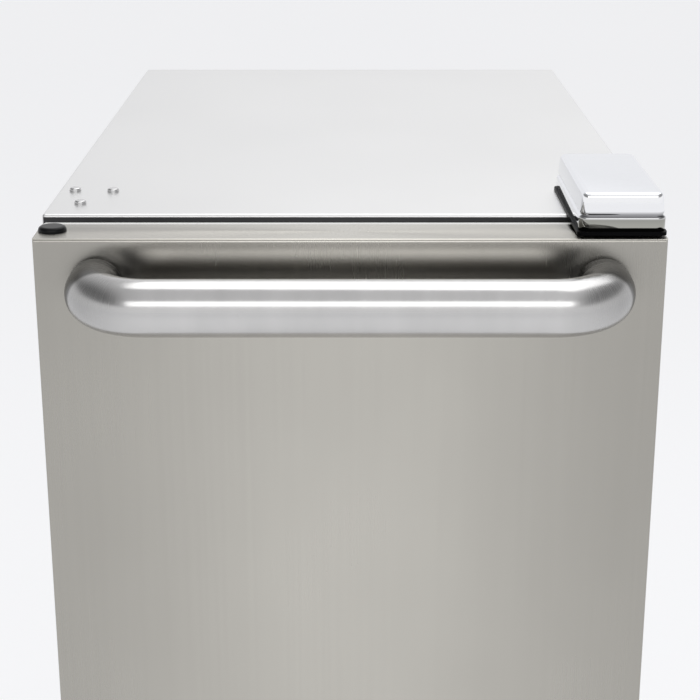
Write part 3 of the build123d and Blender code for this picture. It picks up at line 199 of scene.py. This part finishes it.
def brushed_metal(
    name, colour, stretch, roughness, grain=0.06, anisotropy=0.5,
    smudge=0.04, streak=0.02, fade=None, relief=0.06
):
    """Steel with a fine grain along the axis whose stretch is small, and faint clouding from handling; a fade,
    when given, darkens both sides as painted shade.
    """
    s = Shader(name)
    s.value("Metallic", 1.0)
    fine = s.noise(1.0, detail=3.0, stretch=stretch)
    coarse = s.noise(1.0, detail=2.0, stretch=tuple(0.22 * k for k in stretch))
    cloud = s.noise(7.0, detail=3.0, stretch=(1.0, 1.0, 0.7))
    tone = s.mix(s.ramp(cloud, 0.0, 1.0), shade(colour, 1.0 - smudge), shade(colour, 1.0 + smudge))
    levels = [s.ramp(coarse, 1.0 - streak, 1.0)]
    # Painted shade towards both sides, when a fade is given.
    if fade:
        levels.append(s.painted_side_shade(*fade))
    for level in levels:
        tone = s.darken(tone, level)
    s.colour(tone)
    rough = s.math("ADD", s.ramp(fine, roughness - grain, roughness + grain), s.ramp(cloud, -0.02, 0.03))
    s.link(rough, s.bsdf.inputs["Roughness"])
    s.link(s.bump(fine, relief, 0.00005), s.bsdf.inputs["Normal"])
    s.value("Anisotropic", anisotropy)
    s.tangent("Z")
    return s.material


def plain_metal(name, colour, roughness, mottling=0.05, scale=40.0):
    """A plated or painted-bright metal with soft mottling."""
    s = Shader(name)
    s.value("Metallic", 1.0)
    blotch = s.noise(scale, detail=3.0)
    s.colour(s.mix(s.ramp(blotch, 0.0, 1.0), shade(colour, 1.0 - mottling), shade(colour, 1.0 + mottling)))
    s.link(s.ramp(blotch, roughness - 0.03, roughness + 0.05), s.bsdf.inputs["Roughness"])
    s.link(s.bump(s.noise(900.0, detail=1.0), 0.04, 0.00005), s.bsdf.inputs["Normal"])
    return s.material


def galvanised(name, colour):
    """Zinc-coated sheet with its crystal spangle."""
    s = Shader(name)
    s.value("Metallic", 1.0)
    cells = s.node("ShaderNodeTexVoronoi")
    cells.inputs["Scale"].default_value = 90.0
    s.link(s.coords, cells.inputs["Vector"])
    grey = s.node("ShaderNodeRGBToBW")
    s.link(cells.outputs["Color"], grey.inputs["Color"])
    s.colour(s.mix(grey.outputs["Val"], shade(colour, 0.86), shade(colour, 1.10)))
    s.link(s.ramp(grey.outputs["Val"], 0.30, 0.46, 0.0, 1.0), s.bsdf.inputs["Roughness"])
    return s.material


def coated(name, colour, roughness, texture_scale=1400.0, bump=0.25, variation=0.10, specular=0.5, ior=1.5):
    """Powder coat, enamel or moulded plastic: a fine orange-peel surface with slight wear in its tone."""
    s = Shader(name)
    wear = s.noise(18.0, detail=4.0)
    s.colour(s.mix(s.ramp(wear, 0.0, 1.0), shade(colour, 1.0 - variation), shade(colour, 1.0 + variation)))
    s.link(s.ramp(wear, roughness - 0.04, roughness + 0.06), s.bsdf.inputs["Roughness"])
    s.value("Specular IOR Level", specular)
    s.value("IOR", ior)
    peel = s.noise(texture_scale, detail=2.0)
    s.link(s.bump(peel, bump, 0.0001), s.bsdf.inputs["Normal"])
    return s.material


def lens_plastic(name, colour):
    s = Shader(name)
    s.colour(s.mix(s.ramp(s.noise(300.0), 0.0, 1.0), shade(colour, 0.9), colour))
    s.value("Roughness", 0.12)
    s.value("Coat Weight", 0.6)
    return s.material


def felt(name, colour):
    s = Shader(name)
    fibre = s.noise(2500.0, detail=4.0)
    s.colour(s.mix(s.ramp(fibre, 0.0, 1.0), shade(colour, 0.6), shade(colour, 1.5)))
    s.value("Roughness", 0.95)
    s.value("Sheen Weight", 0.3)
    s.link(s.bump(fibre, 0.6, 0.0004), s.bsdf.inputs["Normal"])
    return s.material


DOOR_STEEL = (0.545, 0.527, 0.482)
HANDLE_STEEL = (0.60, 0.595, 0.59)
CABINET_STEEL = (0.78, 0.78, 0.778)
DOOR_HALF = DOOR_HIGH.x

finishes = {
    "stainless_door": brushed_metal(
        "stainless_door",
        DOOR_STEEL,
        (1600.0, 1600.0, 16.0),
        0.25,
        grain=0.014,
        anisotropy=0.9,
        # Painted shade: the door's colour darkens to 0.75 of itself towards both side edges.
        fade=(0.08 * DOOR_HALF, 1.06 * DOOR_HALF, 0.75),
    ),
    "stainless_cabinet": brushed_metal(
        "stainless_cabinet",
        CABINET_STEEL,
        (1400.0, 20.0, 20.0),
        0.34,
        grain=0.006,
        anisotropy=0.0,
        smudge=0.008,
        streak=0.002,
        relief=0.0,
    ),
    "bright_screw": plain_metal("bright_screw", (0.60, 0.60, 0.60), 0.10, mottling=0.06, scale=400.0),
    "galvanised": galvanised("galvanised", (0.62, 0.64, 0.65)),
    "black_steel": coated("black_steel", (0.003, 0.003, 0.0035), 0.34, specular=0.3, ior=1.12),
    "ram_paint": coated("ram_paint", (0.20, 0.21, 0.22), 0.42),
    "bin_paint": coated("bin_paint", (0.045, 0.048, 0.052), 0.5, bump=0.45),
    "screw_steel": plain_metal("screw_steel", (0.50, 0.50, 0.49), 0.3),
    "pulley_metal": plain_metal("pulley_metal", (0.70, 0.70, 0.71), 0.4),
    "bronze": plain_metal("bronze", (0.65, 0.45, 0.20), 0.3),
    "motor_paint": coated("motor_paint", (0.03, 0.032, 0.034), 0.45, bump=0.5),
    "liner_plastic": coated("liner_plastic", (0.78, 0.78, 0.76), 0.35, texture_scale=2200.0, variation=0.02),
    "gasket_rubber": coated("gasket_rubber", (0.035, 0.035, 0.037), 0.62, variation=0.15),
    "belt_rubber": coated("belt_rubber", (0.015, 0.015, 0.015), 0.75),
    "core_foam": felt("core_foam", (0.72, 0.68, 0.55)),
    "filter_felt": felt("filter_felt", (0.03, 0.03, 0.03)),
    "header_plastic": coated("header_plastic", (0.03, 0.03, 0.032), 0.38),
    "control_zinc": plain_metal("control_zinc", (0.66, 0.67, 0.68), 0.34),
    "button_green": coated("button_green", (0.02, 0.20, 0.06), 0.22, bump=0.05),
    "button_red": coated("button_red", (0.40, 0.015, 0.01), 0.22, bump=0.05),
    "black_plastic": coated("black_plastic", (0.003, 0.003, 0.0035), 0.30, bump=0.12, specular=0.16),
    "lens": lens_plastic("lens", (0.75, 0.20, 0.02)),
}


TUBE_RADIUS = (HANDLE_HIGH.z - HANDLE_LOW.z) / 2
# Painted shade: the tube's back, towards the door, is darkened to 0.30 in colour.
BACK_SHADE_START = HANDLE_LOW.y + 1.72 * TUBE_RADIUS
BACK_SHADE_END = HANDLE_LOW.y + 1.92 * TUBE_RADIUS
BACK_PAINTED_SHADE = 0.30
# Painted shade: both bends are darkened to 0.72 in colour; they are also made rougher.
BEND_START = HANDLE_HIGH.x - 3.0 * TUBE_RADIUS
BEND_END = HANDLE_HIGH.x - 0.8 * TUBE_RADIUS
BEND_PAINTED_SHADE = 0.72


def handle_finish():
    """Satin tube: grain runs round the tube, read from the mesh's own map of length and turn. Its back, towards
    the door, and its two bends carry painted shade in their colour.
    """
    s = Shader("stainless_handle")
    s.value("Metallic", 1.0)
    uv = s.node("ShaderNodeUVMap", uv_map="tube").outputs["UV"]
    rings = s.noise(1.0, detail=3.0, stretch=(2600.0, 3.0, 1.0), coords=uv)
    bands = s.noise(1.0, detail=2.0, stretch=(60.0, 2.0, 1.0), coords=uv)
    tone = s.mix(s.ramp(bands, 0.0, 1.0), shade(HANDLE_STEEL, 0.96), shade(HANDLE_STEEL, 1.03))
    # Painted shade on the tube's back, towards the door.
    tone = s.darken(tone, s.ramp(s.axis_level("Y", BACK_SHADE_START, BACK_SHADE_END), 1.0, BACK_PAINTED_SHADE, 0.0, 1.0))
    # Painted shade on both bends, which are also made rougher.
    bend = s.math("ADD", s.axis_level("X", BEND_START, BEND_END), s.axis_level("X", -BEND_START, -BEND_END))
    tone = s.darken(tone, s.ramp(bend, 1.0, BEND_PAINTED_SHADE, 0.0, 1.0))
    s.colour(tone)
    rough = s.math("ADD", s.ramp(rings, 0.14, 0.23), s.ramp(bands, -0.01, 0.02))
    rough = s.math("ADD", rough, s.ramp(bend, 0.0, 0.10, 0.0, 1.0))
    s.link(rough, s.bsdf.inputs["Roughness"])
    s.link(s.bump(rings, 0.22, 0.00005), s.bsdf.inputs["Normal"])
    return s.material


finishes["stainless_handle"] = handle_finish()


CHROME_COLOUR = (0.86, 0.875, 0.91)
# Painted reflections on the cover's front, by height: a near-white face, a dull band at the foot and light and
# dark lines at the shoulder.
FACE_PAINTED_REFLECTION = (0.96, 0.965, 0.98)
BAND_PAINTED_REFLECTION = (0.40, 0.40, 0.36)
SHOULDER_PAINTED_REFLECTIONS = (
    (0.30, (0.36, 0.36, 0.33)),
    (0.34, (0.62, 0.62, 0.62)),
    (0.38, (0.16, 0.16, 0.17)),
    (0.46, (0.45, 0.45, 0.46)),
    (0.52, FACE_PAINTED_REFLECTION),
    (0.90, FACE_PAINTED_REFLECTION),
)
PAINTED_REFLECTION_FRONT = (0.0055, 0.0035)


def cover_finish():
    """Bright plating, with painted reflections on the front by height: a dull band along the foot, light and
    dark lines at the shoulder and a near-white face above.
    """
    s = Shader("chrome")
    s.value("Metallic", 1.0)
    height = s.axis_level("Z", COVER_LOW.z, COVER_HIGH.z)
    reflection_ramp = s.node("ShaderNodeValToRGB")
    stops = reflection_ramp.color_ramp.elements
    stops[0].position, stops[0].color = 0.0, (*BAND_PAINTED_REFLECTION, 1.0)
    stops[1].position, stops[1].color = 1.0, (*CHROME_COLOUR, 1.0)
    for position, colour in SHOULDER_PAINTED_REFLECTIONS:
        stops.new(position).color = (*colour, 1.0)
    s.link(height, reflection_ramp.inputs["Fac"])
    # Only the front face carries the painted reflections.
    front = s.axis_level("Y", COVER_LOW.y + PAINTED_REFLECTION_FRONT[0], COVER_LOW.y + PAINTED_REFLECTION_FRONT[1])
    haze = s.noise(220.0, detail=3.0)
    plated = s.mix(s.ramp(haze, 0.0, 1.0), shade(CHROME_COLOUR, 0.985), CHROME_COLOUR)
    s.colour(s.mix(front, plated, reflection_ramp.outputs["Color"]))
    s.link(s.ramp(haze, 0.03, 0.07), s.bsdf.inputs["Roughness"])
    return s.material


finishes["chrome"] = cover_finish()

for row in frame["record"]["subparts"]:
    node = frame["nodes"][row["node"]]
    node.data.materials.clear()
    node.data.materials.append(finishes[row["material_slot"]])


# ---------------------------------------------------------------- mesh helpers
def new_piece(name, mesh, body, slot, *replaced):
    """Put a finished mesh in the scene, riding on a body and wearing a slot's finish."""
    piece = bpy.data.objects.new(name, mesh)
    bpy.context.scene.collection.objects.link(piece)
    mesh.materials.append(finishes[slot])
    for polygon in mesh.polygons:
        polygon.use_smooth = True
    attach(piece, body)
    if replaced:
        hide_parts(*replaced)
    return piece


# ---------------------------------------------------------------- handle
TUBE_Z = (HANDLE_HIGH.z + HANDLE_LOW.z) / 2
LEG_X = HANDLE_HIGH.x - TUBE_RADIUS
BAR_Y = HANDLE_LOW.y + TUBE_RADIUS
BEND_RADIUS = 0.035
BEND_STEPS = 40
BAR_STEPS = 90
TURN_STEPS = 96


def handle_path():
    """Points and directions along the handle's centreline, from one foot to the other."""
    points = [(Vector((-LEG_X, DOOR_FRONT, TUBE_Z)), Vector((0, -1, 0)))]
    centre = Vector((-LEG_X + BEND_RADIUS, BAR_Y + BEND_RADIUS, TUBE_Z))
    for i in range(BEND_STEPS + 1):
        a = math.pi / 2 * i / BEND_STEPS
        offset = Vector((-math.cos(a), -math.sin(a), 0)) * BEND_RADIUS
        points.append((centre + offset, Vector((math.sin(a), -math.cos(a), 0))))
    half = LEG_X - BEND_RADIUS
    for i in range(1, BAR_STEPS):
        points.append((Vector((-half + 2 * half * i / BAR_STEPS, BAR_Y, TUBE_Z)), Vector((1, 0, 0))))
    mirrored = [(Vector((-p.x, p.y, p.z)), Vector((d.x, -d.y, d.z))) for p, d in points[: BEND_STEPS + 2]]
    return points + mirrored[::-1]


def make_handle():
    bm = bmesh.new()
    uv = bm.loops.layers.uv.new("tube")
    up = Vector((0, 0, 1))
    rings, lengths = [], []
    travelled = 0.0
    previous = None
    for point, direction in handle_path():
        if previous is not None:
            travelled += (point - previous).length
        previous = point
        side = direction.cross(up)
        ring = []
        for j in range(TURN_STEPS):
            a = 2 * math.pi * j / TURN_STEPS
            ring.append(bm.verts.new(point + (up * math.cos(a) + side * math.sin(a)) * TUBE_RADIUS))
        rings.append(ring)
        lengths.append(travelled)
    for i in range(len(rings) - 1):
        for j in range(TURN_STEPS):
            k = (j + 1) % TURN_STEPS
            face = bm.faces.new((rings[i][j], rings[i][k], rings[i + 1][k], rings[i + 1][j]))
            turns = (j / TURN_STEPS, (j + 1) / TURN_STEPS, (j + 1) / TURN_STEPS, j / TURN_STEPS)
            along = (lengths[i], lengths[i], lengths[i + 1], lengths[i + 1])
            for loop, u, v in zip(face.loops, along, turns):
                loop[uv].uv = (u, v)
    bm.faces.new(rings[0][::-1])
    bm.faces.new(rings[-1])
    bmesh.ops.recalc_face_normals(bm, faces=bm.faces)
    mesh = bpy.data.meshes.new("handle_bar")
    bm.to_mesh(mesh)
    bm.free()
    return new_piece("handle_bar", mesh, "door", "stainless_handle", "handle_tube")


make_handle()


# ---------------------------------------------------------------- hinge cover
COVER_CORNER = 0.006
CORNER_STEPS = 10
LEAST_CORNER = 0.0015
CORNER_SHRINK = 0.0006
SHELL_WALL = 0.0012
MILLIMETRE = 0.001
# Height above the cover's foot, inset from its outline: a tucked skirt, a shoulder line and a crowned top.
COVER_SECTIONS = (
    (0.0, 0.35), (0.25, 0.1), (6.9, 0.0), (7.5, 0.1), (8.0, 0.55), (8.5, 1.25), (9.3, 1.35), (9.8, 0.95),
    (10.4, 0.85), (18.6, 1.6), (19.8, 1.9), (20.6, 2.4), (21.2, 3.2), (21.5, 4.2), (21.6, 5.4),
)
COVER_HEIGHT = COVER_HIGH.z - COVER_LOW.z
COVER_FOOT_TO_TOP = COVER_SECTIONS[-1][0]


def rounded_outline(low, high, radius, steps):
    """Points of a rounded rectangle, counter-clockwise from above."""
    points = []
    corners = (
        (high.x - radius, low.y + radius, -math.pi / 2),
        (high.x - radius, high.y - radius, 0.0),
        (low.x + radius, high.y - radius, math.pi / 2),
        (low.x + radius, low.y + radius, math.pi),
    )
    for x, y, start in corners:
        for i in range(steps + 1):
            a = start + math.pi / 2 * i / steps
            points.append((x + radius * math.cos(a), y + radius * math.sin(a)))
    return points


def skin_rings(bm, rings):
    """Join rings of vertices with quads, and return the faces."""
    faces = []
    for lower, upper in zip(rings, rings[1:]):
        count = len(lower)
        for j in range(count):
            k = (j + 1) % count
            faces.append(bm.faces.new((lower[j], lower[k], upper[k], upper[j])))
    return faces


def make_cover():
    bm = bmesh.new()
    rings = []
    for height, inset in COVER_SECTIONS:
        z = COVER_LOW.z + height / COVER_FOOT_TO_TOP * COVER_HEIGHT
        low = COVER_LOW + Vector((inset, inset, 0)) * MILLIMETRE
        high = COVER_HIGH - Vector((inset, inset, 0)) * MILLIMETRE
        radius = max(LEAST_CORNER, COVER_CORNER - CORNER_SHRINK * inset)
        rings.append([bm.verts.new((x, y, z)) for x, y in rounded_outline(low, high, radius, CORNER_STEPS)])
    skin_rings(bm, rings)
    bm.faces.new(rings[-1])
    mesh = bpy.data.meshes.new("cover_shell")
    bm.to_mesh(mesh)
    bm.free()
    shell = new_piece("cover_shell", mesh, "cabinet", "chrome", "hinge_cover")
    thickness = shell.modifiers.new("wall", "SOLIDIFY")
    thickness.thickness = SHELL_WALL
    thickness.offset = -1.0


make_cover()


# ---------------------------------------------------------------- power screws
JOURNAL_RADIUS = 0.0075
LOWER_JOURNAL = 0.068
UPPER_JOURNAL = 0.030
THREAD_LEAD = 0.012
THREAD_STARTS = 2
THREAD_DEPTH = 0.0018
THREAD_RUNOUT = 0.004
THREAD_STEP = 0.001
THREAD_SIDES = 32
END_CHAMFER = 0.001


def thread_radius(outer, z, turn, low, high):
    """A trapezoidal two-start thread that fades out at both ends of its length."""
    phase = (z / THREAD_LEAD - turn) * THREAD_STARTS % 1.0
    flank = min(1.0, max(0.0, 4.0 * (abs(phase - 0.5) - 0.125)))
    fade = min(1.0, max(0.0, min(z - low, high - z) / THREAD_RUNOUT))
    return outer - THREAD_DEPTH * flank * fade


def make_power_screw(node, body):
    box_low, box_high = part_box(node)
    centre = (box_low + box_high) / 2
    outer = (box_high.x - box_low.x) / 2
    low = box_low.z + LOWER_JOURNAL
    high = box_high.z - UPPER_JOURNAL
    steps = round((high - low) / THREAD_STEP)
    levels = [(box_low.z, JOURNAL_RADIUS), (low, JOURNAL_RADIUS)]
    levels += [(low + (high - low) * i / steps, outer) for i in range(steps + 1)]
    levels += [(high, JOURNAL_RADIUS), (box_high.z - END_CHAMFER, JOURNAL_RADIUS)]
    levels += [(box_high.z, JOURNAL_RADIUS - END_CHAMFER)]
    bm = bmesh.new()
    rings = []
    for z, radius in levels:
        ring = []
        for j in range(THREAD_SIDES):
            turn = j / THREAD_SIDES
            reach = thread_radius(radius, z, turn, low, high) if radius == outer else radius
            angle = 2 * math.pi * turn
            x = centre.x + reach * math.cos(angle)
            y = centre.y + reach * math.sin(angle)
            ring.append(bm.verts.new((x, y, z)))
        rings.append(ring)
    skin_rings(bm, rings)
    bm.faces.new(rings[-1])
    bm.faces.new(list(reversed(rings[0])))
    mesh = bpy.data.meshes.new(node + "_thread")
    bm.to_mesh(mesh)
    bm.free()
    new_piece(node + "_thread", mesh, body, "screw_steel", node)


make_power_screw("power_screw_left", "left_screw")
make_power_screw("power_screw_right", "right_screw")


# ---------------------------------------------------------------- dark strip of painted shade in the gap over the door
SHADE_STRIP_THICKNESS = 0.0004
SHADE_STRIP_BELOW_EDGE = 0.0015
SHADE_STRIP_WIDTH = 0.009
SHADE_STRIP_SIDE = 0.001


def make_gap_shade_strip():
    """A thin dark strip on the folded front edge of the top panel, just under its bright rolled corner: painted
    shade for the gap over the door.
    """
    low = Vector((TOP_LOW.x + SHADE_STRIP_SIDE, TOP_LOW.y - SHADE_STRIP_THICKNESS, TOP_HIGH.z - SHADE_STRIP_BELOW_EDGE - SHADE_STRIP_WIDTH))
    high = Vector((TOP_HIGH.x - SHADE_STRIP_SIDE, TOP_LOW.y, TOP_HIGH.z - SHADE_STRIP_BELOW_EDGE))
    bm = bmesh.new()
    bmesh.ops.create_cube(bm, size=1.0)
    for vert in bm.verts:
        for i in range(3):
            vert.co[i] = low[i] if vert.co[i] < 0 else high[i]
    bmesh.ops.bevel(bm, geom=bm.edges[:], offset=SHADE_STRIP_THICKNESS / 3, segments=2, affect="EDGES")
    mesh = bpy.data.meshes.new("gap_shade_strip")
    bm.to_mesh(mesh)
    bm.free()
    # Painted shade: a dark sheet where the gap over the door is in shade.
    new_piece("gap_shade_strip", mesh, "cabinet", "gasket_rubber")


make_gap_shade_strip()

# ---------------------------------------------------------------- floor and light
FLOOR_RADIUS = 45.0
FLOOR_COLOUR = (0.42, 0.42, 0.42)
FLOOR_GLOW = (0.585, 0.588, 0.602)


def make_floor():
    bm = bmesh.new()
    bmesh.ops.create_circle(bm, cap_ends=True, segments=96, radius=FLOOR_RADIUS)
    mesh = bpy.data.meshes.new("floor")
    bm.to_mesh(mesh)
    bm.free()
    floor = bpy.data.objects.new("floor", mesh)
    bpy.context.scene.collection.objects.link(floor)
    s = Shader("floor_paint")
    s.colour(s.mix(s.ramp(s.noise(0.8), 0.0, 1.0), shade(FLOOR_COLOUR, 0.99), FLOOR_COLOUR))
    s.value("Roughness", 0.9)
    s.value("Specular IOR Level", 0.1)
    s.bsdf.inputs["Emission Color"].default_value = (*FLOOR_GLOW, 1.0)
    s.value("Emission Strength", 1.0)
    mesh.materials.append(s.material)


def make_softbox(name, location, target, width, height, radiance):
    """An area light facing a point; its power follows from the brightness it should show."""
    data = bpy.data.lights.new(name, "AREA")
    data.shape = "RECTANGLE"
    data.size = width
    data.size_y = height
    data.energy = radiance * width * height * math.pi
    light = bpy.data.objects.new(name, data)
    light.location = location
    light.rotation_euler = (Vector(target) - Vector(location)).to_track_quat("-Z", "Y").to_euler()
    bpy.context.scene.collection.objects.link(light)


def map_range(tree, source, from_low, from_high, low, high):
    made = tree.nodes.new("ShaderNodeMapRange")
    made.interpolation_type = "SMOOTHSTEP"
    for socket, value in (("From Min", from_low), ("From Max", from_high), ("To Min", low), ("To Max", high)):
        made.inputs[socket].default_value = value
    tree.links.new(source, made.inputs["Value"])
    return made.outputs["Result"]


HORIZON_LEVEL = 0.90
HORIZON_BAND = (0.20, 0.38)
SKY_LOW = 1.06
SKY_HIGH = 0.80
SKY_BAND = (0.30, 0.70)
SIDE_LEVEL = 0.30
SIDE_BAND = (0.35, 0.80)
LEFT_LEVEL = 0.78
LEFT_BAND = (-0.35, 0.20)


def make_world():
    """A pale studio, dimmer to both sides and a little dimmer overhead."""
    world = bpy.data.worlds.new("studio")
    bpy.context.scene.world = world
    world.use_nodes = True
    tree = world.node_tree
    background = tree.nodes["Background"]
    coords = tree.nodes.new("ShaderNodeTexCoord")
    split = tree.nodes.new("ShaderNodeSeparateXYZ")
    tree.links.new(coords.outputs["Generated"], split.inputs["Vector"])
    sideways = tree.nodes.new("ShaderNodeMath")
    sideways.operation = "ABSOLUTE"
    tree.links.new(split.outputs["X"], sideways.inputs[0])
    levels = (
        map_range(tree, split.outputs["Z"], *SKY_BAND, SKY_LOW, SKY_HIGH),
        map_range(tree, sideways.outputs["Value"], *SIDE_BAND, 1.0, SIDE_LEVEL),
        map_range(tree, split.outputs["X"], *LEFT_BAND, LEFT_LEVEL, 1.0),
    )
    product = levels[0]
    for level in levels[1:]:
        multiply = tree.nodes.new("ShaderNodeMath")
        multiply.operation = "MULTIPLY"
        tree.links.new(product, multiply.inputs[0])
        tree.links.new(level, multiply.inputs[1])
        product = multiply.outputs["Value"]
    above = map_range(tree, split.outputs["Z"], *HORIZON_BAND, 0.0, 1.0)
    horizon = tree.nodes.new("ShaderNodeMix")
    tree.links.new(above, horizon.inputs["Factor"])
    horizon.inputs[2].default_value = HORIZON_LEVEL
    tree.links.new(product, horizon.inputs[3])
    background.inputs["Color"].default_value = (1.0, 1.0, 1.01, 1.0)
    tree.links.new(horizon.outputs[0], background.inputs["Strength"])


make_floor()
make_world()
HANDLE_POINT = (0.0, BAR_Y, TUBE_Z)
# Each softbox: offset from the handle's middle, width, height and brightness.
FRONT_SOFTBOX = ((0.0, -1.86, 1.24), 2.6, 0.70, 1.4)
REAR_SOFTBOX = ((0.35, 1.0, 1.9), 2.1, 2.0, 1.3)
for box_name, (offset, *shape) in (("front_softbox", FRONT_SOFTBOX), ("rear_softbox", REAR_SOFTBOX)):
    place = (offset[0], BAR_Y + offset[1], TUBE_Z + offset[2])
    make_softbox(box_name, place, HANDLE_POINT, *shape)
